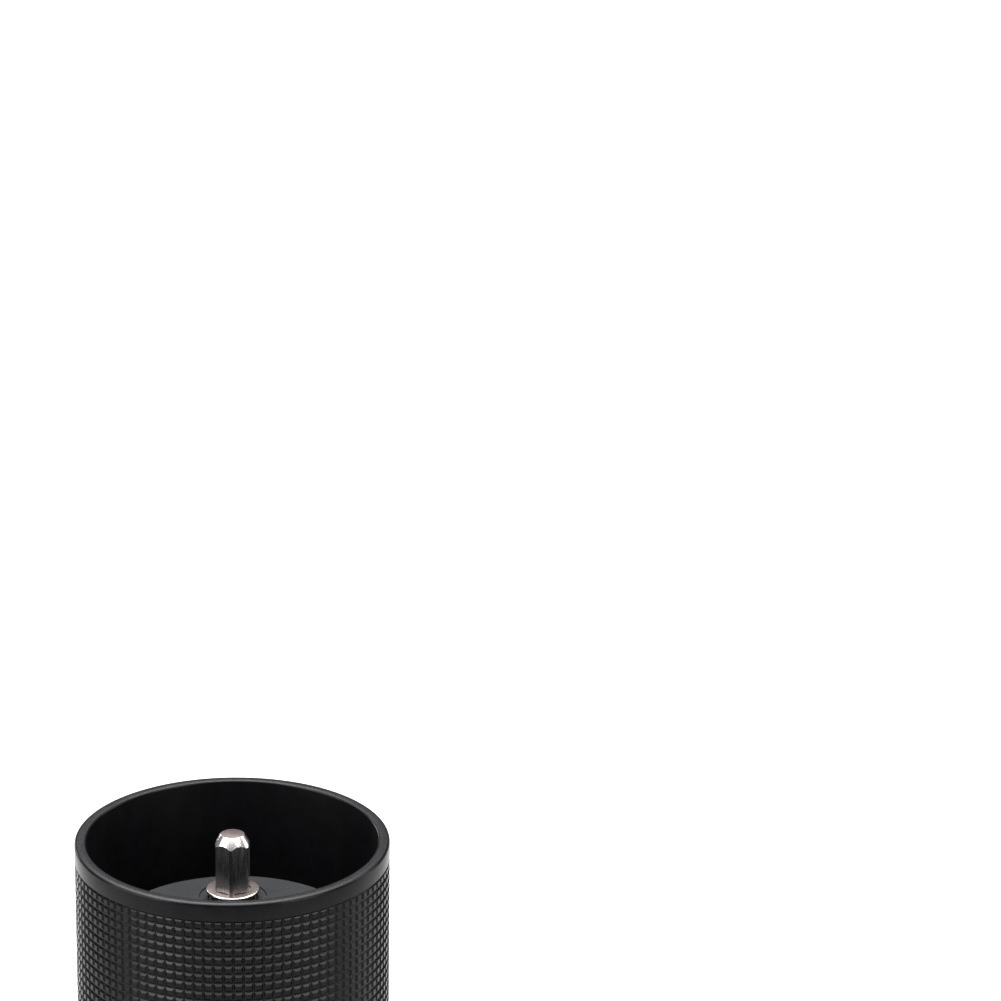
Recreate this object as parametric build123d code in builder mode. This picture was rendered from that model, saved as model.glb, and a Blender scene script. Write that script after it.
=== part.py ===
from build123d import *
import os
from math import asin, cos, degrees, pi, radians, sin, sqrt

# Hand crank coffee grinder, standing open: the lid with its crank lies on the table beside it.
# Millimetres, +Z up, origin at the centre of the face that the catch cup stands on.

# driving dimensions
body_r = 26.0            # outside of the body and cup
bore_r = 24.05           # inside of the body
rim_z = 138.0            # top face of the body
cup_top_z = 46.0         # where the body meets the cup
edge_break = 0.35        # small chamfer on turned edges

shaft_r = 3.0            # corners of the drive section
shaft_across_flats = 5.44
shaft_tip_z = rim_z + 0.9
shaft_tip_r = 1.95
tip_cone_height = 1.8
drive_turn = -6.0        # how far the hexagon is turned about the shaft
thread_r = 2.45          # threaded stub under the burr
journal_r = 2.99

bridge_top_z = rim_z - 10.3
bridge_thick = 6.0
bridge_edge_r = 20.6     # radius of the two long edges of the leaf
bridge_half_width = 8.06
bridge_arm_width = 4.4
bridge_screw_x = 20.8
screw_thread_r = 1.25
screw_head_r = 2.3
screw_head_high = 2.0
screw_head_sunk = 2.2    # depth of the counterbore for a bridge screw
bridge_lip = 0.4         # thin edge over the upper bearing, which goes in from below

bearing_r = 6.5
bearing_height = 5.0
outer_race_r = 5.4       # inside of the outer race
inner_race_r = 4.0       # outside of the inner race
ball_r = 0.65
ball_count = 9
shield_thick = 0.25
bearing_window_r = 5.6   # hole through which the bearing's shield shows
lower_bearing_z = 88.0

collar_r = 4.45
collar_thick = 0.45
collar_top_z = rim_z - 8.86

shoulder_z = 96.0        # ledge that the burr carrier is pushed up against
burr_low_z = 58.2
burr_high_z = 80.0
burr_fine_z = 62.5       # the fine teeth end here
burr_gap = 0.35          # between the burrs at the finest setting
inner_burr_r = 19.0      # foot of the cone
fine_burr_r = 18.1       # the cone where the fine teeth end
cone_top_r = 7.6
dial_r = 16.5
dial_low_z = 48.5
dial_high_z = 57.0
click_count = 30         # settings in one turn of the dial
detent_circle_r = 9.5
detent_ball_r = 0.9

pivot_z = 135.6          # height at which the lid meets the rim square on
arm_length = 125.0       # shaft axis to knob axis
arm_thick = 4.0
knob_r = 12.0
socket_play = 0.15       # each side of the hexagon

# places worked out from them
pivot_x = pivot_z - body_r
arm_drop = degrees(asin((body_r - knob_r) / arm_length))
lid_origin = (pivot_x - (rim_z - pivot_z), 0, body_r)
lid_plane = Plane(origin=lid_origin, x_dir=(0, 0, 1), z_dir=(-1, 0, 0))
lid_section = Plane(origin=lid_origin, x_dir=(0, 0, 1), z_dir=(0, -1, 0))
arm_dir = (0, -cos(radians(arm_drop)), -sin(radians(arm_drop)))
crank_plane = Plane(origin=lid_origin, x_dir=arm_dir, z_dir=(-1, 0, 0))
knob_origin = tuple(a + arm_length * b for a, b in zip(lid_origin, arm_dir))
knob_plane = Plane(origin=knob_origin, x_dir=(0, 0, 1), z_dir=(-1, 0, 0))
knob_section = Plane(origin=knob_origin, x_dir=(0, 0, 1), z_dir=(0, -1, 0))

os.makedirs("parts", exist_ok=True)


def save(piece, name):
    piece.part.label = name
    export_step(piece.part, "parts/" + name + ".step")


def turned(outline, section=Plane.XZ):
    # a turned piece from its half section, whose points are (radius, height)
    with BuildPart() as piece:
        with BuildSketch(section):
            with BuildLine():
                Polyline(*outline, close=True)
            make_face()
        revolve(axis=Axis(section.origin, section.y_dir))
    return piece


def ring(inner_r, outer_r, low, high, base=Plane.XY):
    with BuildPart() as piece:
        with BuildSketch(base.offset(low)):
            Circle(outer_r)
            Circle(inner_r, mode=Mode.SUBTRACT)
        extrude(amount=high - low)
    return piece


def split_ring(inner_r, outer_r, low, high, gap, base=Plane.XY):
    # a snap ring: a flat ring with a gap in it
    with BuildPart() as piece:
        with BuildSketch(base.offset(low)):
            Circle(outer_r)
            Circle(inner_r, mode=Mode.SUBTRACT)
            with Locations((0, -outer_r)):
                Rectangle(gap, 2 * (outer_r - inner_r) + 2, mode=Mode.SUBTRACT)
        extrude(amount=high - low)
    return piece


def round_edges(piece, radius):
    return piece.edges().filter_by(GeomType.CIRCLE).filter_by(lambda e: abs(e.radius - radius) < 0.01)


def seal_ring(name, section, middle_r, middle_z, wire_r):
    with BuildPart() as seal:
        with BuildSketch(section):
            with Locations((middle_r, middle_z)):
                Circle(wire_r)
        revolve(axis=Axis(section.origin, section.y_dir))
    save(seal, name)


def drive_hexagon(play=0.0, mode=Mode.ADD):
    # play is added all round
    corner_r = (shaft_across_flats / 2 + play) / cos(pi / 6)
    RegularPolygon(radius=corner_r, side_count=6, rotation=drive_turn - 30, mode=mode)


def drive_section(play):
    # the hexagon with its corners turned off
    drive_hexagon(play)
    Circle(shaft_r + play, mode=Mode.INTERSECT)


# catch cup

def catch_cup():
    wall_r = 23.2
    collar_in = 22.2
    collar_out = 23.6
    collar_top = cup_top_z + 8
    seal_low = 49.3
    seal_high = 50.7
    seal_groove_r = 22.7
    pad_r = 23.0
    pad_high = 2.0
    floor_high = 4.6
    blank = turned([
        (0, pad_high), (pad_r, pad_high), (pad_r, 0.5), (body_r, 0.5), (body_r, cup_top_z),
        (collar_out, cup_top_z), (collar_out, seal_low), (seal_groove_r, seal_low),
        (seal_groove_r, seal_high), (collar_out, seal_high), (collar_out, collar_top),
        (collar_in, collar_top), (collar_in, cup_top_z - 1), (wall_r, cup_top_z - 3),
        (wall_r, floor_high), (0, floor_high)])
    with BuildPart() as cup:
        add(blank.part)
        chamfer(round_edges(cup, body_r), edge_break)
        inner = round_edges(cup, wall_r).sort_by(Axis.Z)[0]
        fillet(inner, 2.0)
        chamfer(round_edges(cup, collar_out).sort_by(Axis.Z)[-1], 0.4)
    save(cup, "catch_cup")

    pad = turned([(0, 0), (21.5, 0), (22.9, 0.6), (22.9, pad_high), (0, pad_high)])
    save(pad, "cup_foot_pad")

    seal_ring("cup_seal", Plane.XZ, 23.35, (seal_low + seal_high) / 2, 0.6)


# body

def outer_body():
    shoulder_r = 22.6
    groove_r = 24.9
    groove_low = burr_low_z - 1.2
    lug_low = 114.0
    lug_high = bridge_top_z - bridge_thick
    lug_width = 7.0
    lug_in_x = 18.0
    lug_out_r = bore_r + 0.8     # runs into the wall
    screw_depth = 7.0
    blank = turned([
        (body_r, cup_top_z), (body_r, rim_z), (bore_r, rim_z), (bore_r, shoulder_z + 3.5),
        (shoulder_r, shoulder_z + 2), (shoulder_r, shoulder_z), (bore_r, shoulder_z),
        (bore_r, burr_low_z), (groove_r, burr_low_z), (groove_r, groove_low),
        (bore_r, groove_low), (bore_r, cup_top_z)])
    with BuildPart() as body:
        add(blank.part)
        chamfer(round_edges(body, body_r), edge_break)
        chamfer(round_edges(body, bore_r).sort_by(Axis.Z)[-1], edge_break)
        with BuildSketch(Plane.XY.offset(lug_low)):
            Rectangle(2 * lug_out_r, lug_width)
            Circle(lug_out_r, mode=Mode.INTERSECT)
            Rectangle(2 * lug_in_x, lug_width, mode=Mode.SUBTRACT)
        extrude(amount=lug_high - lug_low)
        with BuildSketch(Plane.XY.offset(lug_high)):
            with Locations((bridge_screw_x, 0), (-bridge_screw_x, 0)):
                Circle(screw_thread_r + 0.05)
        extrude(amount=-screw_depth, mode=Mode.SUBTRACT)
    save(body, "outer_body")


def bearing_bridge():
    # a leaf-shaped beam across the hopper, with an arm at each end and the bearing in its middle
    low_z = bridge_top_z - bridge_thick
    arc_shift = bridge_edge_r - bridge_half_width
    leaf_half_length = sqrt(bridge_edge_r**2 - arc_shift**2)
    with BuildPart() as bridge:
        with BuildSketch(Plane.XY.offset(low_z)):
            with BuildLine():
                ThreePointArc((-leaf_half_length, 0), (0, bridge_half_width), (leaf_half_length, 0))
                ThreePointArc((leaf_half_length, 0), (0, -bridge_half_width), (-leaf_half_length, 0))
            make_face()
            Rectangle(2 * bore_r, bridge_arm_width)
            with Locations((bridge_screw_x, 0), (-bridge_screw_x, 0)):
                Circle(screw_head_r + 1.0)
            Circle(bore_r - 0.05, mode=Mode.INTERSECT)
        extrude(amount=bridge_thick)
        chamfer(bridge.faces().sort_by(Axis.Z)[-1].edges(), 0.25)
        with BuildSketch(Plane.XY.offset(low_z)):
            Circle(bearing_r)
        extrude(amount=bridge_thick - bridge_lip, mode=Mode.SUBTRACT)
        with BuildSketch(Plane.XY.offset(low_z)):
            Circle(bearing_window_r)
        extrude(amount=bridge_thick, mode=Mode.SUBTRACT)
        with Locations((bridge_screw_x, 0, bridge_top_z), (-bridge_screw_x, 0, bridge_top_z)):
            CounterBoreHole(radius=screw_thread_r + 0.25, counter_bore_radius=screw_head_r + 0.1,
                            counter_bore_depth=screw_head_sunk)
    save(bridge, "bearing_bridge")

    head_low = bridge_top_z - screw_head_sunk
    key_r = 1.3
    key_depth = 1.2
    thread_length = 9.0
    with BuildPart() as screws:
        with BuildSketch(Plane.XY.offset(head_low)):
            with Locations((bridge_screw_x, 0), (-bridge_screw_x, 0)):
                Circle(screw_head_r)
        extrude(amount=screw_head_high)
        with BuildSketch(Plane.XY.offset(head_low + screw_head_high)):
            with Locations((bridge_screw_x, 0), (-bridge_screw_x, 0)):
                RegularPolygon(radius=key_r, side_count=6)
        extrude(amount=-key_depth, mode=Mode.SUBTRACT)
        with BuildSketch(Plane.XY.offset(head_low)):
            with Locations((bridge_screw_x, 0), (-bridge_screw_x, 0)):
                Circle(screw_thread_r)
        extrude(amount=-thread_length)
    save(screws, "bridge_screws")


def bearing(name, low_z):
    high_z = low_z + bearing_height
    outside_r = bearing_r - 0.02
    blank = ring(outer_race_r, outside_r, low_z, high_z)
    with BuildPart() as outer:
        add(blank.part)
        chamfer(round_edges(outer, outside_r), 0.2)
    save(outer, name + "_outer_race")

    blank = ring(shaft_r, inner_race_r, low_z, high_z)
    with BuildPart() as inner:
        add(blank.part)
        chamfer(round_edges(inner, inner_race_r), 0.12)
    save(inner, name + "_inner_race")

    with BuildPart() as balls:
        with Locations((0, 0, (low_z + high_z) / 2)):
            with PolarLocations((outer_race_r + inner_race_r) / 2, ball_count):
                Sphere(ball_r)
    save(balls, name + "_balls")

    shield = ring(inner_race_r + 0.15, bearing_window_r - 0.1, high_z, high_z + shield_thick)
    save(shield, name + "_shield")


# burr set

def burr_carrier():
    # three arms that hold the lower bearing over the burrs and leave the beans a way down
    ring_in = 21.2
    hub_r = 9.3
    arm_low = 87.0
    hub_low = 86.6
    hub_high = lower_bearing_z + bearing_height + 1.4
    arm_width = 5.0
    with BuildPart() as carrier:
        with BuildSketch(Plane.XY.offset(burr_high_z)):
            Circle(bore_r - 0.05)
            Circle(ring_in, mode=Mode.SUBTRACT)
        extrude(amount=shoulder_z - burr_high_z)
        with BuildSketch(Plane.XY.offset(arm_low)):
            with PolarLocations((hub_r + ring_in) / 2, 3, start_angle=90):
                Rectangle(ring_in - hub_r + 3, arm_width)
        extrude(amount=shoulder_z - 2 - arm_low)
        with BuildSketch(Plane.XY.offset(hub_low)):
            Circle(hub_r)
        extrude(amount=hub_high - hub_low)
        with BuildSketch(Plane.XY.offset(hub_low)):
            Circle(bearing_r)
        extrude(amount=lower_bearing_z + bearing_height - hub_low, mode=Mode.SUBTRACT)
        with BuildSketch(Plane.XY.offset(hub_low)):
            Circle(bearing_window_r)
        extrude(amount=hub_high - hub_low + 1, mode=Mode.SUBTRACT)
    save(carrier, "burr_carrier")


def outer_burr():
    # the fixed ring: fine teeth low down, opening into coarse grooves towards the beans
    outside_r = bore_r - 0.1
    mouth_r = 16.4
    groove_count = 16
    tooth_count = 48
    blank = turned([
        (outside_r, burr_low_z), (outside_r, burr_high_z), (mouth_r, burr_high_z),
        (fine_burr_r + burr_gap, burr_fine_z), (inner_burr_r + burr_gap, burr_low_z)])
    with BuildPart() as burr:
        add(blank.part)
        with BuildSketch(Plane.XY.offset(burr_fine_z - 1)):
            with PolarLocations(mouth_r + 1.5, groove_count):
                RegularPolygon(radius=1.2, side_count=3)
        extrude(amount=burr_high_z - burr_fine_z + 2, taper=-3.0, mode=Mode.SUBTRACT)
        with BuildSketch(Plane.XY.offset(burr_low_z - 0.5)):
            with PolarLocations(inner_burr_r + burr_gap - 0.25, tooth_count):
                RegularPolygon(radius=0.55, side_count=3)
        extrude(amount=5.6, mode=Mode.SUBTRACT)
    save(burr, "outer_burr")

    snap = split_ring(22.9, 24.85, burr_low_z - 1.15, burr_low_z - 0.05, 7.0)
    save(snap, "burr_snap_ring")


def inner_burr():
    # the turning cone; it slides on the flats of the shaft
    low_z = burr_low_z + 0.4
    flute_count = 7
    tooth_count = 42
    blank = turned([
        (0, low_z), (inner_burr_r, low_z), (fine_burr_r, burr_fine_z),
        (cone_top_r, burr_high_z), (0, burr_high_z)])
    with BuildPart() as burr:
        add(blank.part)
        with BuildSketch(Plane.XY.offset(burr_fine_z + 0.6)):
            with PolarLocations(inner_burr_r - 1.2, flute_count):
                RegularPolygon(radius=4.6, side_count=3, rotation=20)
        extrude(amount=burr_high_z - burr_fine_z, taper=-8.0, mode=Mode.SUBTRACT)
        with BuildSketch(Plane.XY.offset(low_z - 0.2)):
            with PolarLocations(inner_burr_r + 0.1, tooth_count):
                RegularPolygon(radius=0.6, side_count=3, rotation=180)
        extrude(amount=burr_fine_z - low_z + 2, mode=Mode.SUBTRACT)
        with BuildSketch(Plane.XY.offset(low_z - 1)):
            drive_section(0.05)
        extrude(amount=burr_high_z - low_z + 2, mode=Mode.SUBTRACT)
    save(burr, "inner_burr")


def index_plate():
    low_z = dial_high_z + 0.2
    with BuildPart() as plate:
        with BuildSketch(Plane.XY.offset(low_z)):
            Circle(detent_circle_r + 2.5)
            with PolarLocations(detent_circle_r, click_count):
                Circle(0.55, mode=Mode.SUBTRACT)
        extrude(amount=burr_low_z + 0.4 - low_z)
        with BuildSketch(Plane.XY.offset(low_z - 1)):
            drive_section(0.05)
        extrude(amount=4.0, mode=Mode.SUBTRACT)
    save(plate, "index_plate")


def burr_spring():
    # held between the lower bearing and the burr, so that the burr follows the dial down
    wire_r = 0.45
    washer_high = lower_bearing_z
    washer_low = washer_high - 0.7
    coil_r = 4.3
    turns = 4
    spring_low = burr_high_z + 0.1 + wire_r
    spring_high = washer_low - 0.05 - wire_r
    rise = spring_high - spring_low
    with BuildPart() as spring:
        with BuildLine():
            coil = Helix(pitch=rise / turns, height=rise, radius=coil_r, center=(0, 0, spring_low))
        with BuildSketch(Plane(origin=coil @ 0, z_dir=coil % 0)):
            Circle(wire_r)
        sweep(is_frenet=True)
    save(spring, "burr_spring")
    save(ring(shaft_r + 0.05, 5.0, washer_low, washer_high), "spring_washer")


# drive shaft

def drive_shaft():
    seat_low = dial_high_z + 0.1
    seat_high = burr_high_z + 1.5
    collar_neck = bridge_top_z - bridge_lip
    clip_low = lower_bearing_z + bearing_height + 0.05
    clip_high = clip_low + 0.7
    clip_groove_r = 2.6
    blank = turned([
        (0, dial_low_z), (thread_r - 0.4, dial_low_z), (thread_r, dial_low_z + 0.4), (thread_r, seat_low),
        (shaft_r, seat_low), (shaft_r, seat_high), (journal_r, seat_high), (journal_r, clip_low),
        (clip_groove_r, clip_low), (clip_groove_r, clip_high), (journal_r, clip_high),
        (journal_r, collar_top_z), (shaft_r, collar_top_z), (shaft_r, shaft_tip_z - tip_cone_height),
        (shaft_tip_r, shaft_tip_z), (0, shaft_tip_z)])
    with BuildPart() as shaft:
        add(blank.part)
        chamfer(round_edges(shaft, shaft_tip_r), 0.08)
        for low, high in ((seat_low, seat_high), (collar_top_z, shaft_tip_z)):
            with BuildSketch(Plane.XY.offset(low)):
                Circle(shaft_r + 1)
                drive_hexagon(mode=Mode.SUBTRACT)
            extrude(amount=high - low, mode=Mode.SUBTRACT)
    save(shaft, "drive_shaft")

    neck_r = 3.75
    flange_low = collar_top_z - collar_thick
    blank = turned([
        (journal_r, collar_neck), (neck_r, collar_neck), (neck_r, flange_low),
        (collar_r, flange_low), (collar_r, collar_top_z), (journal_r, collar_top_z)])
    with BuildPart() as collar:
        add(blank.part)
        chamfer(round_edges(collar, collar_r).sort_by(Axis.Z)[-1], 0.1)
    save(collar, "shaft_collar")

    clip = split_ring(clip_groove_r + 0.02, 4.05, clip_low + 0.03, clip_high - 0.03, 2.6)
    save(clip, "shaft_clip")


# adjustment dial

def adjustment_dial():
    grip_count = 36
    mark_count = 12
    blank = ring(thread_r + 0.05, dial_r, dial_low_z, dial_high_z)
    with BuildPart() as dial:
        add(blank.part)
        chamfer(round_edges(dial, dial_r), 0.6)
        with BuildSketch(Plane.XY.offset(dial_low_z)):
            with PolarLocations(dial_r + 0.35, grip_count):
                Circle(0.9)
        extrude(amount=dial_high_z - dial_low_z, mode=Mode.SUBTRACT)
        with BuildSketch(Plane.XY.offset(dial_low_z)):
            with PolarLocations(13.4, mark_count):
                Rectangle(2.6, 0.5)
        extrude(amount=0.3, mode=Mode.SUBTRACT)
        with BuildSketch(Plane.XY.offset(dial_high_z)):
            with PolarLocations(detent_circle_r, 2):
                Circle(detent_ball_r + 0.05)
        extrude(amount=-2.4, mode=Mode.SUBTRACT)
    save(dial, "adjustment_dial")

    with BuildPart() as balls:
        with Locations((0, 0, dial_high_z - 0.8)):
            with PolarLocations(detent_circle_r, 2):
                Sphere(detent_ball_r)
    save(balls, "detent_balls")


# lid; heights from here on are from the rim plane, along the lid's own axis

lid_high = 6.6
bush_r = 6.5
hub_spigot_r = 6.4
hub_top = 10.0
arm_top = hub_top + arm_thick


def lid_cap():
    skirt_in = 22.1
    skirt_out = 23.7
    skirt_low = -5.4
    seal_low = -3.6
    seal_high = -2.2
    boss_r = 9.8
    boss_low = -2.0
    crown_r = 22.5
    roof_low = 3.4
    seal_groove_r = 22.7
    blank = turned([
        (body_r, 0.1), (body_r, 3.2), (crown_r, lid_high), (bush_r + 1.5, lid_high),
        (bush_r + 1.5, boss_low), (boss_r, boss_low), (boss_r, roof_low), (skirt_in, roof_low),
        (skirt_in, skirt_low), (skirt_out, skirt_low), (skirt_out, seal_low), (seal_groove_r, seal_low),
        (seal_groove_r, seal_high), (skirt_out, seal_high), (skirt_out, 0.1)], lid_section)
    with BuildPart() as lid:
        add(blank.part)
        fillet(round_edges(lid, crown_r), 2.5)
        chamfer(round_edges(lid, body_r), 0.4)
    save(lid, "lid_cap")

    bush = turned([
        (bush_r, boss_low), (bush_r + 1.48, boss_low), (bush_r + 1.48, lid_high), (9.4, lid_high),
        (9.4, 7.4), (bush_r, 7.4)], lid_section)
    save(bush, "lid_bush")

    seal_ring("lid_seal", lid_section, 23.3, (seal_low + seal_high) / 2, 0.55)


# crank

def crank():
    head_r = 9.2
    socket_low = -6.0
    socket_high = 1.6
    clip_low = -2.95
    clip_high = -2.1
    clip_groove_r = 5.7
    screw_r = 2.0
    square = 7.0
    blank = turned([
        (0, socket_low), (hub_spigot_r, socket_low), (hub_spigot_r, clip_low), (clip_groove_r, clip_low),
        (clip_groove_r, clip_high), (hub_spigot_r, clip_high), (hub_spigot_r, 7.5), (head_r, 7.5),
        (head_r, hub_top), (0, hub_top)], lid_section)
    with BuildPart() as hub:
        add(blank.part)
        chamfer(round_edges(hub, head_r), 0.3)
        with BuildSketch(crank_plane.offset(hub_top)):
            Rectangle(square - 0.04, square - 0.04)
        extrude(amount=arm_thick - 0.1)
        with BuildSketch(lid_plane.offset(socket_low)):
            drive_hexagon(socket_play)
        extrude(amount=socket_high - socket_low, mode=Mode.SUBTRACT)
        with BuildSketch(lid_plane.offset(arm_top)):
            Circle(screw_r + 0.05)
        extrude(amount=3.4 - arm_top, mode=Mode.SUBTRACT)
    save(hub, "crank_hub")

    clip = split_ring(clip_groove_r + 0.02, 7.7, clip_low + 0.05, clip_high - 0.05, 3.4, lid_plane)
    save(clip, "hub_clip")

    end_r = 6.8
    with BuildPart() as arm:
        with BuildSketch(crank_plane.offset(hub_top)):
            Circle(head_r)
            with Locations((arm_length, 0)):
                Circle(end_r)
            make_hull()
        extrude(amount=arm_thick)
        chamfer(arm.edges().filter_by(GeomType.LINE).filter_by(lambda e: e.length > arm_length / 2), 0.5)
        with BuildSketch(crank_plane.offset(hub_top)):
            Rectangle(square, square)
            with Locations((arm_length, 0)):
                Circle(2.5)
        extrude(amount=arm_thick, mode=Mode.SUBTRACT)
    save(arm, "crank_arm")

    head_high = arm_top + 2.8
    blank = turned([
        (0, 4.0), (screw_r, 4.0), (screw_r, arm_top), (6.4, arm_top), (6.4, arm_top + 1.2),
        (4.6, head_high), (0, head_high)], lid_section)
    with BuildPart() as screw:
        add(blank.part)
        with BuildSketch(lid_plane.offset(head_high)):
            RegularPolygon(radius=2.3, side_count=6)
        extrude(amount=-1.7, mode=Mode.SUBTRACT)
    save(screw, "hub_screw")


# knob

spindle_r = 2.9
spindle_top = 36.2


def knob_parts():
    bore = spindle_r + 0.1
    spindle = turned([
        (0, hub_top - 1.0), (4.2, hub_top - 1.0), (4.2, hub_top), (2.45, hub_top), (2.45, arm_top),
        (5.0, arm_top), (5.0, arm_top + 1.0), (spindle_r, arm_top + 1.0), (spindle_r, spindle_top),
        (1.55, spindle_top), (1.55, spindle_top - 8.5), (0, spindle_top - 8.5)], knob_section)
    save(spindle, "knob_spindle")

    blank = turned([
        (0, spindle_top - 8.0), (1.5, spindle_top - 8.0), (1.5, spindle_top), (4.0, spindle_top),
        (4.0, spindle_top + 1.6), (3.2, spindle_top + 2.2), (0, spindle_top + 2.2)], knob_section)
    with BuildPart() as screw:
        add(blank.part)
        with BuildSketch(knob_plane.offset(spindle_top + 2.2)):
            RegularPolygon(radius=1.5, side_count=6)
        extrude(amount=-1.3, mode=Mode.SUBTRACT)
    save(screw, "knob_screw")

    low = arm_top + 1.2
    high = low + 29.0
    seat = spindle_top - 0.2
    with BuildPart() as knob:
        with BuildSketch(knob_section):
            with BuildLine():
                Line((bore, low), (7.4, low))
                Spline((7.4, low), (8.2, low + 6), (knob_r, low + 18), (8.6, high - 2.2), (5.0, high),
                       tangents=((0.0, 1.0), (-1.0, 0.1)))
                Polyline((5.0, high), (4.6, high), (4.6, seat), (bore, seat), (bore, low))
            make_face()
        revolve(axis=Axis(knob_origin, (-1, 0, 0)))
    save(knob, "crank_knob")

    cap = turned([
        (0, spindle_top + 2.8), (4.55, spindle_top + 2.8), (4.55, high - 0.3), (3.6, high + 0.2),
        (0, high + 0.2)], knob_section)
    save(cap, "knob_cap")


catch_cup()
outer_body()
bearing_bridge()
bearing("upper_bearing", bridge_top_z - bridge_lip - bearing_height)
bearing("lower_bearing", lower_bearing_z)
burr_carrier()
outer_burr()
inner_burr()
index_plate()
burr_spring()
drive_shaft()
adjustment_dial()
lid_cap()
crank()
knob_parts()
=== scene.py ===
import math
import bmesh
import bpy
from mathutils import Matrix, Vector


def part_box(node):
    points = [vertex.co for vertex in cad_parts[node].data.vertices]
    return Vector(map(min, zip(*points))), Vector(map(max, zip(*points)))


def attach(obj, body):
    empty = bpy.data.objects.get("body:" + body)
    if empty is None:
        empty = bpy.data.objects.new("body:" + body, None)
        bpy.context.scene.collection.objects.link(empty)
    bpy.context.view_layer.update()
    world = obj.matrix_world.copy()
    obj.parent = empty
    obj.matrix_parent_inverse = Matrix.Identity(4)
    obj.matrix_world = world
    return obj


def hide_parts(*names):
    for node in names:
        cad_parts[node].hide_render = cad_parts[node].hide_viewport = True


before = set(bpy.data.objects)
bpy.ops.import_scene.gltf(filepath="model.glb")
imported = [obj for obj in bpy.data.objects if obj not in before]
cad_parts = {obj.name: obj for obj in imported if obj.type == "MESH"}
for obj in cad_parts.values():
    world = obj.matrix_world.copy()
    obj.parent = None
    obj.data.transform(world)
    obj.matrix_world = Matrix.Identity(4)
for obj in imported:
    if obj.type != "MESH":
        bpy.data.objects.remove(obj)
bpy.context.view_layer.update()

mm = 0.001


# places taken from the frame

bodyLow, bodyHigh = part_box("outer_body")
cupLow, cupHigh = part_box("catch_cup")
shaftLow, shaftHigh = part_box("drive_shaft")
collarLow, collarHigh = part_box("shaft_collar")
lidLow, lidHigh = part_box("lid_cap")
knobLow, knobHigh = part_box("crank_knob")
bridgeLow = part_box("bearing_bridge")[0]
rimZ = bodyHigh.z
bodyRadius = bodyHigh.x

lidSkirt = 5.4 * mm          # how far the skirt hangs below the rim plane
lidOrigin = Vector((lidHigh.x - lidSkirt, 0.0, (lidLow.z + lidHigh.z) / 2))
laidTurn = Matrix(((0, 0, -1), (0, 1, 0), (1, 0, 0))).to_4x4()
lidPlace = Matrix.Translation(lidOrigin) @ laidTurn
knobMiddle = (knobLow + knobHigh) / 2
knobPlace = Matrix.Translation((lidOrigin.x, knobMiddle.y, knobMiddle.z)) @ laidTurn


# mesh helpers

def spinOutline(outline, steps, rounds=None, segments=3):
    # turns a closed half section of (radius, height) points in mm about Z
    # rounds gives the edge radius of some of the points, by their number
    mesh = bmesh.new()
    points = [mesh.verts.new((r * mm, 0, z * mm)) for r, z in outline]
    for a, b in zip(points, points[1:] + points[:1]):
        mesh.edges.new((a, b))
    for index, radius in (rounds or {}).items():
        bmesh.ops.bevel(mesh, geom=[points[index]], offset=radius * mm, segments=segments, profile=0.5,
                        material=-1, affect="VERTICES")
    bmesh.ops.spin(mesh, geom=mesh.verts[:] + mesh.edges[:], cent=(0, 0, 0), axis=(0, 0, 1),
                   angle=2 * math.pi, steps=steps, use_merge=True)
    bmesh.ops.remove_doubles(mesh, verts=mesh.verts[:], dist=1e-6)
    bmesh.ops.recalc_face_normals(mesh, faces=mesh.faces[:])
    return mesh


def joined(meshes):
    whole = bmesh.new()
    for mesh in meshes:
        keep = bpy.data.meshes.new("part")
        mesh.to_mesh(keep)
        mesh.free()
        whole.from_mesh(keep)
        bpy.data.meshes.remove(keep)
    return whole


def knurlBand(mesh, topZ, rows, grid):
    # every cell of the band gets a narrow floor round it and a raised square pad
    low = (topZ - grid["pitch"] * rows) * mm
    high = (topZ - grid["step"] / 2) * mm
    cells = []
    for face in mesh.faces:
        middle = face.calc_center_median()
        upright = abs(face.normal.z) < 0.1
        outside = middle.xy.length > (grid["floorRadius"] - 0.1) * mm and middle.xy.dot(face.normal.xy) > 0
        if upright and outside and low < middle.z < high:
            cells.append(face)
    bmesh.ops.inset_individual(mesh, faces=cells, thickness=grid["floorWidth"] * mm, depth=0,
                               use_even_offset=True)
    bmesh.ops.inset_individual(mesh, faces=cells, thickness=grid["slopeWidth"] * mm,
                               depth=grid["padHeight"] * mm, use_even_offset=True)


def finishPiece(mesh, name, body, material, sharp=30, place=None):
    if place:
        bmesh.ops.transform(mesh, matrix=place, verts=mesh.verts[:])
    for face in mesh.faces:
        face.smooth = True
    for edge in mesh.edges:
        edge.smooth = not (edge.is_manifold and edge.calc_face_angle(0) > math.radians(sharp))
    data = bpy.data.meshes.new(name)
    mesh.to_mesh(data)
    mesh.free()
    piece = bpy.data.objects.new(name, data)
    bpy.context.collection.objects.link(piece)
    piece.data.materials.append(material)
    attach(piece, body)
    return piece


# materials

def newMaterial(name, color, roughness, metallic=0.0, **sockets):
    material = bpy.data.materials.new(name)
    material.use_nodes = True
    nodes = material.node_tree.nodes
    shader = nodes["Principled BSDF"]
    shader.inputs["Base Color"].default_value = (*color, 1)
    shader.inputs["Roughness"].default_value = roughness
    shader.inputs["Metallic"].default_value = metallic
    for socket, value in sockets.items():
        shader.inputs[socket.replace("_", " ")].default_value = value
    return material, nodes, material.node_tree.links, shader


def addNoise(nodes, links, scale, detail=3.0, stretch=(1, 1, 1)):
    coords = nodes.new("ShaderNodeTexCoord")
    mapping = nodes.new("ShaderNodeMapping")
    mapping.inputs["Scale"].default_value = stretch
    noise = nodes.new("ShaderNodeTexNoise")
    noise.inputs["Scale"].default_value = scale
    noise.inputs["Detail"].default_value = detail
    links.new(coords.outputs["Object"], mapping.inputs["Vector"])
    links.new(mapping.outputs["Vector"], noise.inputs["Vector"])
    return noise


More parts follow.
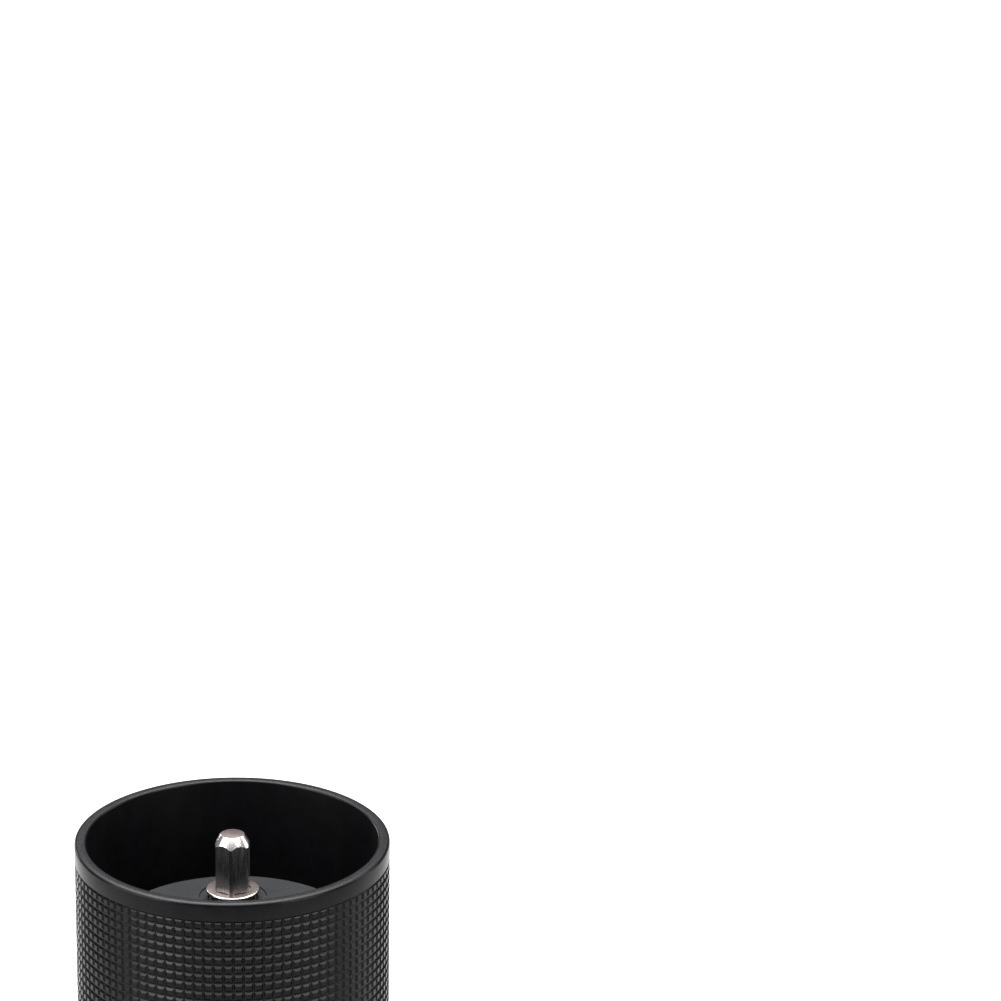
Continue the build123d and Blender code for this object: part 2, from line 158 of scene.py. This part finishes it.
def addRange(nodes, links, source, low, high, target):
    spread = nodes.new("ShaderNodeMapRange")
    spread.inputs["From Min"].default_value = 0.3    # noise seldom leaves this range
    spread.inputs["From Max"].default_value = 0.7
    spread.inputs["To Min"].default_value = low
    spread.inputs["To Max"].default_value = high
    links.new(source, spread.inputs["Value"])
    links.new(spread.outputs["Result"], target)


def addTint(nodes, links, source, dark, light, target, fromLow=0.35, fromHigh=0.65):
    ramp = nodes.new("ShaderNodeValToRGB")
    ramp.color_ramp.elements[0].position = fromLow
    ramp.color_ramp.elements[0].color = (*dark, 1)
    ramp.color_ramp.elements[1].position = fromHigh
    ramp.color_ramp.elements[1].color = (*light, 1)
    links.new(source, ramp.inputs["Fac"])
    links.new(ramp.outputs["Color"], target)


def addBump(nodes, links, source, distance, shader):
    bump = nodes.new("ShaderNodeBump")
    bump.inputs["Strength"].default_value = 0.3
    bump.inputs["Distance"].default_value = distance
    links.new(source, bump.inputs["Height"])
    links.new(bump.outputs["Normal"], shader.inputs["Normal"])


def metalFinish(name, dark, light, roughLow, roughHigh, grain, stretch, metallic, bumpDepth, **sockets):
    # a metal whose tone and gloss vary a little with the grain left by its finishing
    material, nodes, links, shader = newMaterial(name, light, roughHigh, metallic, **sockets)
    cloud = addNoise(nodes, links, grain / 12, 2.0)
    fine = addNoise(nodes, links, grain, 4.0, stretch)
    addTint(nodes, links, cloud.outputs["Fac"], dark, light, shader.inputs["Base Color"])
    addRange(nodes, links, fine.outputs["Fac"], roughLow, roughHigh, shader.inputs["Roughness"])
    addBump(nodes, links, fine.outputs["Fac"], bumpDepth, shader)
    return material


blackAnodised = metalFinish("blackAnodised", (0.0015, 0.0015, 0.0018), (0.0025, 0.0025, 0.003), 0.24, 0.28,
                            5200, (1, 1, 1), 0.0, 0.000004, Specular_IOR_Level=0.085)
turnedRim = metalFinish("turnedRim", (0.003, 0.003, 0.0034), (0.005, 0.005, 0.0056), 0.26, 0.32,
                        5200, (1, 1, 1), 0.0, 0.000004, Specular_IOR_Level=0.28)
# painted shade: the inside of the body gets a darker, less glossy copy of the black anodised finish,
# standing in for the shade down in the bore
paintedShadeBore = metalFinish("paintedShadeBore", (0.0008, 0.0008, 0.001), (0.0014, 0.0014, 0.0018), 0.45, 0.58,
                        3800, (1, 1, 0.15), 0.0, 0.00001, Specular_IOR_Level=0.05)
greyBridge = metalFinish("greyBridge", (0.0048, 0.0058, 0.0063), (0.0075, 0.0088, 0.0094), 0.48, 0.62,
                         3600, (1, 1, 1), 0.1, 0.00002, Specular_IOR_Level=0.16)
polishedSteel = metalFinish("polishedSteel", (0.52, 0.505, 0.495), (0.60, 0.585, 0.575), 0.20, 0.29,
                            6500, (1, 1, 0.04), 1.0, 0.000004)
flangeSteel = metalFinish("flangeSteel", (0.115, 0.092, 0.088), (0.145, 0.118, 0.112), 0.34, 0.42,
                          6500, (1, 1, 1), 1.0, 0.000004)
satinSteel = metalFinish("satinSteel", (0.325, 0.325, 0.325), (0.345, 0.345, 0.345), 0.30, 0.38,
                         5200, (1, 0.03, 1), 1.0, 0.000008)
fastenerSteel = metalFinish("fastenerSteel", (0.32, 0.32, 0.33), (0.42, 0.42, 0.43), 0.24, 0.36,
                            4200, (1, 1, 1), 1.0, 0.000006)
bearingSteel = metalFinish("bearingSteel", (0.50, 0.50, 0.50), (0.60, 0.60, 0.60), 0.12, 0.24,
                           5200, (1, 1, 0.1), 1.0, 0.000004)
shieldSteel = metalFinish("shieldSteel", (0.0048, 0.0056, 0.006), (0.0073, 0.0084, 0.0088), 0.45, 0.58,
                          4200, (1, 1, 1), 0.1, 0.00002, Specular_IOR_Level=0.16)
burrSteel = metalFinish("burrSteel", (0.40, 0.40, 0.41), (0.52, 0.52, 0.52), 0.24, 0.36,
                        3600, (1, 1, 0.2), 1.0, 0.00001)
bushBronze = metalFinish("bushBronze", (0.34, 0.22, 0.10), (0.46, 0.31, 0.15), 0.30, 0.45,
                         4200, (1, 1, 1), 1.0, 0.00001)


def makeRubber():
    material, nodes, links, shader = newMaterial("rubber", (0.02, 0.02, 0.02), 0.7)
    grain = addNoise(nodes, links, 2600, 3.0)
    addTint(nodes, links, grain.outputs["Fac"], (0.014, 0.014, 0.014), (0.026, 0.026, 0.026),
            shader.inputs["Base Color"])
    addRange(nodes, links, grain.outputs["Fac"], 0.6, 0.8, shader.inputs["Roughness"])
    addBump(nodes, links, grain.outputs["Fac"], 0.00003, shader)
    return material


def makeWood(name, dark, light):
    # long figure with fine pores, running along the knob
    material, nodes, links, shader = newMaterial(name, light, 0.42, Coat_Weight=0.15, Coat_Roughness=0.35)
    figure = addNoise(nodes, links, 260, 5.0, (0.16, 1, 1))
    pores = addNoise(nodes, links, 2400, 2.0, (0.05, 1, 1))
    figure.inputs["Distortion"].default_value = 1.2
    mix = nodes.new("ShaderNodeMix")
    mix.data_type = "FLOAT"
    mix.inputs["Factor"].default_value = 0.35
    links.new(figure.outputs["Fac"], mix.inputs["A"])
    links.new(pores.outputs["Fac"], mix.inputs["B"])
    addTint(nodes, links, mix.outputs["Result"], dark, light, shader.inputs["Base Color"], 0.38, 0.62)
    addRange(nodes, links, pores.outputs["Fac"], 0.36, 0.5, shader.inputs["Roughness"])
    addBump(nodes, links, pores.outputs["Fac"], 0.00004, shader)
    return material


rubber = makeRubber()
walnut = makeWood("walnut", (0.045, 0.018, 0.008), (0.19, 0.085, 0.036))
walnutEnd = makeWood("walnutEnd", (0.03, 0.012, 0.006), (0.11, 0.05, 0.022))
print("materials made")


# grinder body

waffleGrid = {"columns": 100, "pitch": 1.56, "floorRadius": 25.69, "floorWidth": 0.09, "slopeWidth": 0.31,
              "padHeight": 0.30, "step": 0.12}    # the step is the height of the slope from band to knurl
bodySize = {"rimBand": 2.9, "rows": 54, "bore": 24.05, "rimRound": 0.4, "boreRound": 0.28, "shoulder": 96.0,
            "shoulderRadius": 22.6, "footRound": 0.3, "grooveRadius": 24.9, "grooveLow": 57.0,
            "grooveHigh": 58.2, "lugLow": 114.0, "lugWidth": 7.0, "lugInner": 18.0}


def knurlOutline(topZ, rows, grid, outer):
    # points down the outside: band edge, the step in to the knurl floor, then one point a row
    floor = grid["floorRadius"]
    step = grid["step"]
    points = [(outer, topZ), (floor, topZ - step)]
    points += [(floor, topZ - step - grid["pitch"] * row) for row in range(1, rows)]
    lowZ = topZ - grid["pitch"] * rows
    return points + [(floor, lowZ + step), (outer, lowZ)]


def makeBody(size, grid):
    rim = rimZ / mm
    base = bodyLow.z / mm
    outer = bodyRadius / mm
    bore = size["bore"]
    shoulder = size["shoulder"]
    knurlTop = rim - size["rimBand"]
    outline = [(outer, rim)] + knurlOutline(knurlTop, size["rows"], grid, outer)
    low = len(outline)
    outline += [(outer, base), (bore, base), (bore, size["grooveLow"]),
                (size["grooveRadius"], size["grooveLow"]), (size["grooveRadius"], size["grooveHigh"]),
                (bore, size["grooveHigh"]), (bore, shoulder), (size["shoulderRadius"], shoulder),
                (size["shoulderRadius"], shoulder + 2), (bore, shoulder + 3.5), (bore, rim)]
    rounds = {0: size["rimRound"], low: size["footRound"], low + 1: size["footRound"],
              len(outline) - 1: size["boreRound"]}
    mesh = spinOutline(outline, grid["columns"], rounds)
    knurlBand(mesh, knurlTop, size["rows"], grid)
    lugOuter = bore + 0.5    # runs into the wall
    lugHigh = bridgeLow.z / mm
    middle = Vector(((size["lugInner"] + lugOuter) / 2, 0, (lugHigh + size["lugLow"]) / 2)) * mm
    for side in (-1, 1):
        lug = bmesh.ops.create_cube(mesh, size=mm)["verts"]
        bmesh.ops.scale(mesh, vec=(lugOuter - size["lugInner"], size["lugWidth"],
                                   lugHigh - size["lugLow"]), verts=lug)
        bmesh.ops.translate(mesh, vec=(side * middle.x, 0, middle.z), verts=lug)
    piece = finishPiece(mesh, "waffleBody", "grinder_body", blackAnodised)
    piece.data.materials.append(paintedShadeBore)
    piece.data.materials.append(turnedRim)
    # faces inside the bore below the rim get the painted shade finish, the upward faces of the rim get the
    # turned rim finish
    for face in piece.data.polygons:
        underRim = face.center.z < rimZ - size["boreRound"] * mm
        if underRim and face.center.xy.length < (bore + 0.02) * mm:
            face.material_index = 1
        elif not underRim and face.normal.z > 0.97:
            face.material_index = 2
    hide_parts("outer_body")


makeBody(bodySize, waffleGrid)
print("body made")


# catch cup

cupSize = {"rows": 22, "topBand": 3.4, "wall": 23.2, "floor": 4.6, "padRecess": 2.0, "padRadius": 23.0,
           "collarOuter": 23.6, "collarInner": 22.2, "sealLow": 49.3, "sealHigh": 50.7, "sealRadius": 22.7,
           "edgeRound": 0.35, "footRound": 0.6, "floorRound": 2.0}


def makeCup(size, grid):
    base = cupLow.z / mm
    top = bodyLow.z / mm
    collarTop = cupHigh.z / mm
    outer = bodyRadius / mm
    knurlTop = top - size["topBand"]
    outline = [(outer, top)] + knurlOutline(knurlTop, size["rows"], grid, outer)
    low = len(outline)
    outline += [(outer, base), (size["padRadius"], base), (size["padRadius"], size["padRecess"]),
                (0, size["padRecess"]), (0, size["floor"]), (size["wall"], size["floor"]),
                (size["wall"], top - 3), (size["collarInner"], top - 1), (size["collarInner"], collarTop),
                (size["collarOuter"], collarTop), (size["collarOuter"], size["sealHigh"]),
                (size["sealRadius"], size["sealHigh"]), (size["sealRadius"], size["sealLow"]),
                (size["collarOuter"], size["sealLow"]), (size["collarOuter"], top)]
    rounds = {0: size["edgeRound"], low: size["footRound"], low + 5: size["floorRound"],
              low + 9: size["edgeRound"]}
    mesh = spinOutline(outline, grid["columns"], rounds)
    knurlBand(mesh, knurlTop, size["rows"], grid)
    piece = finishPiece(mesh, "waffleCup", "catch_cup", blackAnodised)
    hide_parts("catch_cup")


makeCup(cupSize, waffleGrid)
print("cup made")


# drive shaft

shaftSize = {"radius": 3.0, "flats": 5.44, "turn": -6.0, "tipRadius": 1.95, "cone": 1.8, "journal": 2.99,
             "thread": 2.45, "seatLow": 57.1, "seatHigh": 81.5, "clipLow": 93.05, "clipHigh": 93.75,
             "clipRadius": 2.6, "threadPitch": 0.8, "threadDepth": 0.22, "threadLead": 0.4, "tipRound": 0.07,
             "sunk": 0.2,    # how far below the collar's top the drive end starts
             "flatSteps": 96, "turnedSteps": 64}


def cutFlats(mesh, size):
    for index in range(6):
        angle = math.radians(size["turn"] - 60 + 60 * index)
        side = Vector((math.cos(angle), math.sin(angle), 0))
        cut = bmesh.ops.bisect_plane(mesh, geom=mesh.verts[:] + mesh.edges[:] + mesh.faces[:], dist=1e-7,
                                     plane_co=side * size["flats"] / 2 * mm, plane_no=side,
                                     clear_outer=True)
        rim = [e for e in cut["geom_cut"] if isinstance(e, bmesh.types.BMEdge)]
        bmesh.ops.edgeloop_fill(mesh, edges=rim)
    bmesh.ops.recalc_face_normals(mesh, faces=mesh.faces[:])


def makeShaft(size):
    # the drive end and the burr seat carry flats, the journal between them is round
    tip = shaftHigh.z / mm
    low = shaftLow.z / mm
    driveLow = collarHigh.z / mm - size["sunk"]
    radius = size["radius"]
    drive = spinOutline([(0, driveLow), (radius, driveLow), (radius, tip - size["cone"]),
                         (size["tipRadius"], tip), (0, tip)], size["flatSteps"], {3: size["tipRound"]})
    cutFlats(drive, size)
    seat = spinOutline([(0, size["seatLow"]), (radius, size["seatLow"]), (radius, size["seatHigh"]),
                        (0, size["seatHigh"])], size["flatSteps"])
    cutFlats(seat, size)
    thread = size["thread"]
    turns = int((size["seatLow"] - low) / size["threadPitch"])
    lead = size["threadLead"]
    outline = [(0, low), (thread - lead, low)]
    for turn in range(turns):
        z = low + lead + turn * size["threadPitch"]
        outline += [(thread, z), (thread - size["threadDepth"], z + size["threadPitch"] / 2)]
    outline += [(thread, size["seatLow"]), (0, size["seatLow"])]
    journal = [(0, size["seatHigh"]), (size["journal"], size["seatHigh"]),
               (size["journal"], size["clipLow"]), (size["clipRadius"], size["clipLow"]),
               (size["clipRadius"], size["clipHigh"]), (size["journal"], size["clipHigh"]),
               (size["journal"], driveLow), (0, driveLow)]
    steps = size["turnedSteps"]
    mesh = joined([drive, seat, spinOutline(outline, steps), spinOutline(journal, steps)])
    piece = finishPiece(mesh, "driveShaft", "drive_shaft", polishedSteel, 20)
    piece.data.materials.append(flangeSteel)
    for face in piece.data.polygons:
        if face.center.z > shaftHigh.z - 0.01 * mm:
            face.material_index = 1    # the duller turned end
    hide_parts("drive_shaft")


collarSize = {"hole": 2.99, "neck": 3.75, "flange": 4.45, "thick": 0.45, "lowRound": 0.1, "topRound": 0.2,
              "steps": 128}


def makeCollar(size):
    low = collarLow.z / mm
    high = collarHigh.z / mm
    under = high - size["thick"]
    outline = [(size["hole"], low), (size["neck"], low), (size["neck"], under), (size["flange"], under),
               (size["flange"], high), (size["hole"], high)]
    mesh = spinOutline(outline, size["steps"], {3: size["lowRound"], 4: size["topRound"]})
    piece = finishPiece(mesh, "shaftCollar", "drive_shaft", flangeSteel, 40)
    piece.data.materials.append(polishedSteel)
    for face in piece.data.polygons:
        face.material_index = 1 if 0.1 < face.normal.z < 0.98 else 0    # painted highlight: the rounded top edge of the flange gets the brighter polished steel, the other faces keep the darker flange steel
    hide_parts("shaft_collar")


makeShaft(shaftSize)
makeCollar(collarSize)
print("shaft made")


# lid

lidSize = {"outer": 26.0, "edge": 3.2, "shoulder": 22.5, "top": 6.6, "bushHole": 8.0, "bossRadius": 9.8,
           "bossLow": -2.0, "ceiling": 3.4, "skirtInner": 22.1, "skirtOuter": 23.7, "skirtLow": -5.4,
           "sealLow": -3.6, "sealHigh": -2.2, "sealRadius": 22.7,
           "rounds": {0: 0.3, 1: 0.9, 2: 3.0, 5: 0.4, 7: 1.2, 9: 0.35},    # by number of outline point
           "steps": 160, "roundSegments": 5}


def makeLid(size):
    outline = [(size["outer"], 0.1), (size["outer"], size["edge"]), (size["shoulder"], size["top"]),
               (size["bushHole"], size["top"]), (size["bushHole"], size["bossLow"]),
               (size["bossRadius"], size["bossLow"]), (size["bossRadius"], size["ceiling"]),
               (size["skirtInner"], size["ceiling"]), (size["skirtInner"], size["skirtLow"]),
               (size["skirtOuter"], size["skirtLow"]), (size["skirtOuter"], size["sealLow"]),
               (size["sealRadius"], size["sealLow"]), (size["sealRadius"], size["sealHigh"]),
               (size["skirtOuter"], size["sealHigh"]), (size["skirtOuter"], 0.1)]
    mesh = spinOutline(outline, size["steps"], size["rounds"], size["roundSegments"])
    piece = finishPiece(mesh, "roundedLid", "lid", blackAnodised, 30, lidPlace)
    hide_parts("lid_cap")


makeLid(lidSize)
print("lid made")


# knob

knobSize = {"bore": 3.0, "seatRadius": 4.6, "low": 15.2, "seat": 36.0, "high": 44.2, "widest": 12.0,
            "steps": 96,
            "swell": [(7.4, 15.2), (7.7, 18.5), (8.9, 23.5), (11.2, 29.0), (12.0, 33.6), (11.4, 38.2),
                      (9.1, 42.2), (5.6, 44.2)]}


def makeKnob(size):
    # the swell is a smooth curve guided by a few turned diameters, then brought out to the full width
    curve = bpy.data.curves.new("swell", "CURVE")
    spline = curve.splines.new("NURBS")
    swell = size["swell"]
    spline.points.add(len(swell) - 1)
    for point, (r, z) in zip(spline.points, swell):
        point.co = (r * mm, 0, z * mm, 1)
    spline.order_u = 4
    spline.use_endpoint_u = True
    spline.resolution_u = 6
    holder = bpy.data.objects.new("swell", curve)
    line = bpy.data.meshes.new_from_object(holder)
    outline = [(v.co.x / mm, v.co.z / mm) for v in line.vertices]
    spread = size["widest"] / max(r for r, z in outline)
    outline = outline[:1] + [(r * spread, z) for r, z in outline[1:]]
    bpy.data.objects.remove(holder)
    bpy.data.meshes.remove(line)
    outline += [(size["seatRadius"], size["high"]), (size["seatRadius"], size["seat"]),
                (size["bore"], size["seat"]), (size["bore"], size["low"])]
    mesh = spinOutline(outline, size["steps"])
    piece = finishPiece(mesh, "turnedKnob", "knob", walnut, 35, knobPlace)
    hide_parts("crank_knob")


makeKnob(knobSize)
print("knob made")


# finishes of the carried-over parts

nodeFinish = [
    (rubber, ["cup_foot_pad", "cup_seal", "lid_seal"]),
    (greyBridge, ["bearing_bridge"]),
    (blackAnodised, ["burr_carrier", "adjustment_dial"]),
    (polishedSteel, ["hub_screw", "knob_screw", "knob_spindle"]),
    (satinSteel, ["crank_arm", "crank_hub"]),
    (fastenerSteel, ["bridge_screws", "burr_snap_ring", "shaft_clip", "hub_clip", "spring_washer",
                     "burr_spring", "index_plate"]),
    (bearingSteel, ["upper_bearing_outer_race", "upper_bearing_balls", "upper_bearing_inner_race",
                    "lower_bearing_outer_race", "lower_bearing_balls", "lower_bearing_inner_race",
                    "detent_balls"]),
    (shieldSteel, ["upper_bearing_shield", "lower_bearing_shield"]),
    (burrSteel, ["inner_burr", "outer_burr"]),
    (bushBronze, ["lid_bush"]),
    (walnutEnd, ["knob_cap"])]

for material, names in nodeFinish:
    for name in names:
        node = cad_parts[name]
        for slot in node.material_slots:
            slot.material = material
        if not node.material_slots:
            node.data.materials.append(material)
print("finishes given")


# table, light and camera

studio = {"table": (0.55, 0.55, 0.55), "tableReach": 6.0, "ambient": 0.18}
lamps = {
    "rear": {"at": (0.05, 0.75, 1.15), "aim": (0.0, 0.60, 0.0), "size": (1.2, 0.8), "power": 32.0},
    "frontBar": {"at": (-0.05, -0.52, 1.05), "aim": (0.0, 0.0, 0.1), "size": (1.8, 0.32), "power": 20.0},
    "leftTop": {"at": (-0.66, -0.20, 0.98), "aim": (0.0, 0.0, 0.1), "size": (0.5, 0.4), "power": 9.0},
    "rightTop": {"at": (0.66, -0.20, 0.98), "aim": (0.0, 0.0, 0.1), "size": (0.5, 0.4), "power": 8.0},
    "rightFront": {"at": (0.60, -0.53, 0.30), "aim": (0.0, 0.0, 0.1), "size": (0.45, 0.3), "power": 4.0},
    "leftStrip": {"at": (-0.72, -0.25, 0.35), "aim": (0.0, 0.0, 0.1), "size": (0.7, 0.5), "power": 7.0},
    "rearLeft": {"at": (-0.45, 0.75, 0.35), "aim": (0.0, 0.0, 0.12), "size": (0.3, 0.4), "power": 2.6},
    "rightStrip": {"at": (0.80, 0.25, 0.40), "aim": (0.0, 0.0, 0.1), "size": (0.30, 0.7), "power": 2.4}}


def makeStudio(setup, lights):
    mesh = bmesh.new()
    bmesh.ops.create_grid(mesh, x_segments=1, y_segments=1, size=setup["tableReach"])
    data = bpy.data.meshes.new("tableTop")
    mesh.to_mesh(data)
    mesh.free()
    table = bpy.data.objects.new("tableTop", data)
    bpy.context.collection.objects.link(table)
    table.data.materials.append(newMaterial("paleTable", setup["table"], 0.6)[0])
    world = bpy.data.worlds.new("softRoom")
    bpy.context.scene.world = world
    world.use_nodes = True
    sky = world.node_tree.nodes["Background"]
    sky.inputs["Color"].default_value = (1, 1, 1, 1)
    sky.inputs["Strength"].default_value = setup["ambient"]
    for name, lamp in lights.items():
        light = bpy.data.lights.new(name, "AREA")
        light.shape = "RECTANGLE"
        light.size, light.size_y = lamp["size"]
        light.energy = lamp["power"]
        holder = bpy.data.objects.new(name, light)
        holder.location = lamp["at"]
        holder.rotation_euler = (Vector(lamp["aim"]) - holder.location).to_track_quat("-Z", "Y").to_euler()
        bpy.context.collection.objects.link(holder)


cameraSize = {"distance": 0.70, "elevation": 24.0, "lens": 151.8, "sensor": 36.0, "rimLeft": 3.89,
              "rimBelow": 4.585, "roll": 0.86}


def makeCamera(size):
    # looks along +Y and down, turned so that the rim sits low and left in the picture
    tilt = math.radians(size["elevation"])
    camera = bpy.data.cameras.new("viewer")
    camera.lens = size["lens"]
    camera.sensor_width = size["sensor"]
    camera.clip_start = 0.01
    camera.clip_end = 50
    holder = bpy.data.objects.new("viewer", camera)
    place = Vector((0, -math.cos(tilt), math.sin(tilt))) * size["distance"] + Vector((0, 0, rimZ))
    level = Matrix.Rotation(math.radians(90 - size["elevation"] + size["rimBelow"]), 4, "X")
    swing = Matrix.Rotation(math.radians(-size["rimLeft"]), 4, "Z")
    roll = Matrix.Rotation(math.radians(size["roll"]), 4, "Z")
    holder.matrix_world = Matrix.Translation(place) @ swing @ level @ roll
    bpy.context.collection.objects.link(holder)
    bpy.context.scene.camera = holder


makeStudio(studio, lamps)
makeCamera(cameraSize)
bpy.context.scene.view_settings.view_transform = "Standard"
print("studio made")
